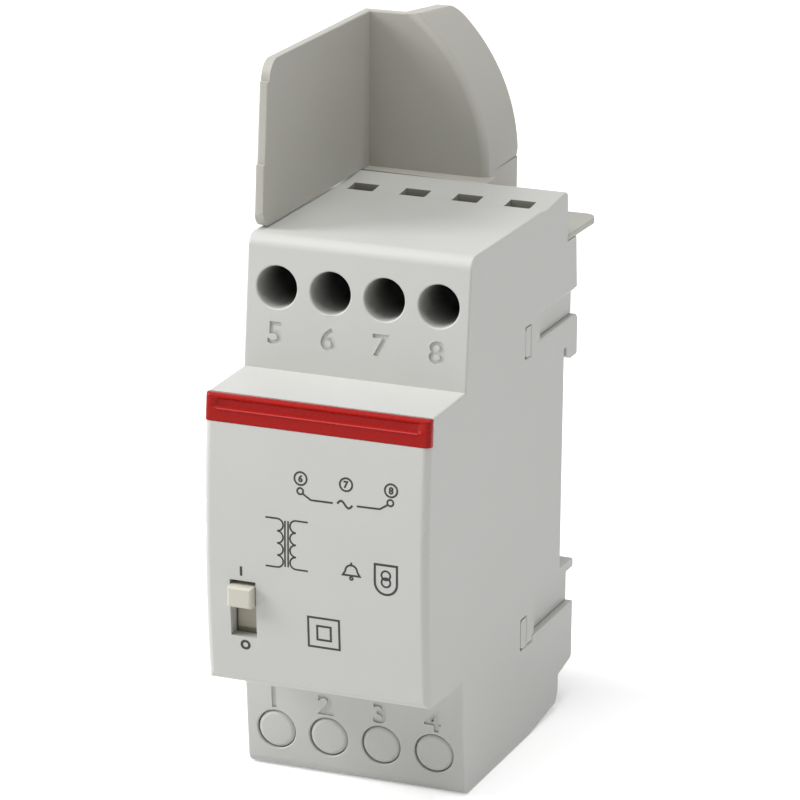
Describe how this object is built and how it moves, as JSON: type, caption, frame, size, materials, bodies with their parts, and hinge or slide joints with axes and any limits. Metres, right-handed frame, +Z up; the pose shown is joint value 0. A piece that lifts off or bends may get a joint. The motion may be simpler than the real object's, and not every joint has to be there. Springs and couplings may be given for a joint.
{
  "type": "doorbell transformer",
  "caption": "Rail-mounted doorbell transformer: crowned grey housing with a slide switch, a red marking strip, shouldered screw terminals above and below, and a wire separation shield.",
  "frame": {"origin": "middle of the face that rests on the rail, half way up the 45 mm raised front", "axes": "+X to the right seen from the front, +Y back towards the rail and the wall, +Z up"},
  "size_m": [0.0358, 0.0752, 0.1099],
  "materials": {
    "housing_plastic": "light grey moulded plastic with a fine spark-eroded texture",
    "strip_plastic": "dark red translucent plastic, satin",
    "shield_plastic": "warm grey moulded plastic, satin",
    "knob_plastic": "cream moulded plastic",
    "switch_plastic": "beige moulded plastic",
    "latch_plastic": "dark grey moulded plastic",
    "carrier_plastic": "grey glass-filled plastic",
    "bobbin_plastic": "natural glass-filled plastic",
    "contact_brass": "stamped brass, bright",
    "plated_steel": "zinc-plated steel",
    "core_steel": "stacked silicon steel, lacquered",
    "copper_wire": "enamelled copper wire",
    "tape_film": "yellow polyester film tape",
    "fuse_case": "tin-plated can"
  },
  "bodies": {
    "housing": {"front_cover": "housing_plastic", "rear_base": "housing_plastic", "marking_strip": "strip_plastic", "separation_shield": "shield_plastic", "blanking_plug_1": "housing_plastic", "blanking_plug_2": "housing_plastic", "blanking_plug_3": "housing_plastic", "blanking_plug_4": "housing_plastic", "switch_housing": "switch_plastic", "switch_contact_line": "contact_brass", "switch_contact_load": "contact_brass", "core_e": "core_steel", "core_i": "core_steel", "core_strap": "plated_steel", "bobbin": "bobbin_plastic", "primary_winding": "copper_wire", "secondary_winding": "copper_wire", "primary_tape": "tape_film", "secondary_tape": "tape_film", "thermal_fuse": "fuse_case", "terminal_carrier_top": "carrier_plastic", "terminal_carrier_bottom": "carrier_plastic", "contact_bar_1": "contact_brass", "contact_bar_2": "contact_brass", "contact_bar_3": "contact_brass", "contact_bar_4": "contact_brass", "contact_bar_5": "contact_brass", "contact_bar_6": "contact_brass", "contact_bar_7": "contact_brass", "contact_bar_8": "contact_brass", "latch_spring": "plated_steel"},
    "knob": {"switch_knob": "knob_plastic", "switch_bridge": "contact_brass"},
    "latch": {"rail_latch": "latch_plastic"},
    "screw_1": {"terminal_screw_1": "plated_steel"},
    "cage_1": {"clamp_cage_1": "plated_steel"},
    "screw_2": {"terminal_screw_2": "plated_steel"},
    "cage_2": {"clamp_cage_2": "plated_steel"},
    "screw_3": {"terminal_screw_3": "plated_steel"},
    "cage_3": {"clamp_cage_3": "plated_steel"},
    "screw_4": {"terminal_screw_4": "plated_steel"},
    "cage_4": {"clamp_cage_4": "plated_steel"},
    "screw_5": {"terminal_screw_5": "plated_steel"},
    "cage_5": {"clamp_cage_5": "plated_steel"},
    "screw_6": {"terminal_screw_6": "plated_steel"},
    "cage_6": {"clamp_cage_6": "plated_steel"},
    "screw_7": {"terminal_screw_7": "plated_steel"},
    "cage_7": {"clamp_cage_7": "plated_steel"},
    "screw_8": {"terminal_screw_8": "plated_steel"},
    "cage_8": {"clamp_cage_8": "plated_steel"}
  },
  "joints": [
    {"name": "knob_slide", "type": "slide", "parent": "housing", "child": "knob", "axis": [0, 0, -1], "range_m": [0, 0.0044]},
    {"name": "latch_slide", "type": "slide", "parent": "housing", "child": "latch", "axis": [0, 0, -1], "range_m": [0, 0.0035], "stiffness_N_per_m": 800, "springref_m": -0.001, "deforming": ["latch_spring"]},
    {"name": "screw_1_turn", "type": "hinge", "parent": "housing", "child": "screw_1", "pos_m": [-0.01298, -0.0234, -0.0352], "axis": [0, 1, 0], "range_deg": [0, 1981]},
    {"name": "cage_1_lift", "type": "slide", "parent": "housing", "child": "cage_1", "axis": [0, -1, 0], "range_m": [0, 0.0033]},
    {"name": "screw_2_turn", "type": "hinge", "parent": "housing", "child": "screw_2", "pos_m": [-0.00432, -0.0234, -0.0352], "axis": [0, 1, 0], "range_deg": [0, 1981]},
    {"name": "cage_2_lift", "type": "slide", "parent": "housing", "child": "cage_2", "axis": [0, -1, 0], "range_m": [0, 0.0033]},
    {"name": "screw_3_turn", "type": "hinge", "parent": "housing", "child": "screw_3", "pos_m": [0.00432, -0.0234, -0.0352], "axis": [0, 1, 0], "range_deg": [0, 1981]},
    {"name": "cage_3_lift", "type": "slide", "parent": "housing", "child": "cage_3", "axis": [0, -1, 0], "range_m": [0, 0.0033]},
    {"name": "screw_4_turn", "type": "hinge", "parent": "housing", "child": "screw_4", "pos_m": [0.01298, -0.0234, -0.0352], "axis": [0, 1, 0], "range_deg": [0, 1981]},
    {"name": "cage_4_lift", "type": "slide", "parent": "housing", "child": "cage_4", "axis": [0, -1, 0], "range_m": [0, 0.0033]},
    {"name": "screw_5_turn", "type": "hinge", "parent": "housing", "child": "screw_5", "pos_m": [-0.01298, -0.0234, 0.0352], "axis": [0, 1, 0], "range_deg": [0, 1981]},
    {"name": "cage_5_lift", "type": "slide", "parent": "housing", "child": "cage_5", "axis": [0, -1, 0], "range_m": [0, 0.0033]},
    {"name": "screw_6_turn", "type": "hinge", "parent": "housing", "child": "screw_6", "pos_m": [-0.00432, -0.0234, 0.0352], "axis": [0, 1, 0], "range_deg": [0, 1981]},
    {"name": "cage_6_lift", "type": "slide", "parent": "housing", "child": "cage_6", "axis": [0, -1, 0], "range_m": [0, 0.0033]},
    {"name": "screw_7_turn", "type": "hinge", "parent": "housing", "child": "screw_7", "pos_m": [0.00432, -0.0234, 0.0352], "axis": [0, 1, 0], "range_deg": [0, 1981]},
    {"name": "cage_7_lift", "type": "slide", "parent": "housing", "child": "cage_7", "axis": [0, -1, 0], "range_m": [0, 0.0033]},
    {"name": "screw_8_turn", "type": "hinge", "parent": "housing", "child": "screw_8", "pos_m": [0.01298, -0.0234, 0.0352], "axis": [0, 1, 0], "range_deg": [0, 1981]},
    {"name": "cage_8_lift", "type": "slide", "parent": "housing", "child": "cage_8", "axis": [0, -1, 0], "range_m": [0, 0.0033]}
  ],
  "couplings": [
    {"joint": "screw_1_turn", "follows": "cage_1_lift", "rad_per_m": 10472},
    {"joint": "screw_2_turn", "follows": "cage_2_lift", "rad_per_m": 10472},
    {"joint": "screw_3_turn", "follows": "cage_3_lift", "rad_per_m": 10472},
    {"joint": "screw_4_turn", "follows": "cage_4_lift", "rad_per_m": 10472},
    {"joint": "screw_5_turn", "follows": "cage_5_lift", "rad_per_m": 10472},
    {"joint": "screw_6_turn", "follows": "cage_6_lift", "rad_per_m": 10472},
    {"joint": "screw_7_turn", "follows": "cage_7_lift", "rad_per_m": 10472},
    {"joint": "screw_8_turn", "follows": "cage_8_lift", "rad_per_m": 10472}
  ]
}
